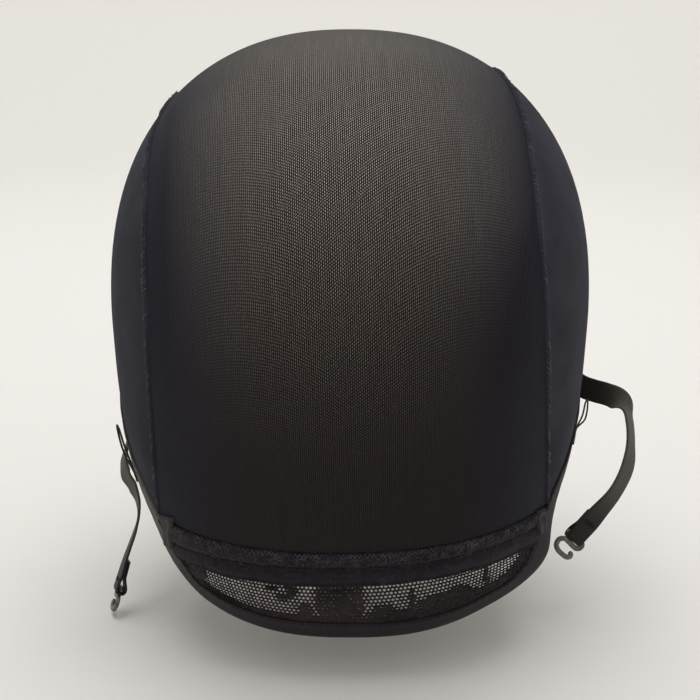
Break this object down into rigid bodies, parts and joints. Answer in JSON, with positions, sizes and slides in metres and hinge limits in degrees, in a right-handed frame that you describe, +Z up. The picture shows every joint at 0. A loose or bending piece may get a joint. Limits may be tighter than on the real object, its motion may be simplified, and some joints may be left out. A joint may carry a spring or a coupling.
{
  "type": "lace wig cap",
  "caption": "Black wig cap shown worn: sheer mesh crown, opaque stretch sides, elastic nape band over a crescent of open net, bound rim and adjuster straps with plastic hooks.",
  "frame": {"origin": "inside of the crown in the middle of the cap, where the top of the head meets it", "axes": "+Z up, +Y the way the wearer faces, -X the wearer's left side"},
  "size_m": [0.1821, 0.1914, 0.1986],
  "materials": {
    "mesh": "sheer knitted power mesh, dull",
    "stretch": "smooth stretch knit, soft sheen",
    "elastic": "overlocked elastic band, dull",
    "net": "open hexagonal net, dull",
    "tape": "folded binding tape, soft sheen",
    "webbing": "woven elastic strap, soft sheen",
    "plastic": "moulded plastic, satin",
    "loop": "thin round elastic, dull"
  },
  "bodies": {
    "root": {"crown_panel": "mesh", "side_panel_left": "stretch", "side_panel_right": "stretch", "nape_band": "elastic", "nape_lace": "net", "edge_binding": "tape", "strap_left": "webbing", "strap_right": "webbing", "hook_left": "plastic", "hook_right": "plastic", "ear_loop_left": "loop", "ear_loop_right": "loop"}
  },
  "joints": []
}
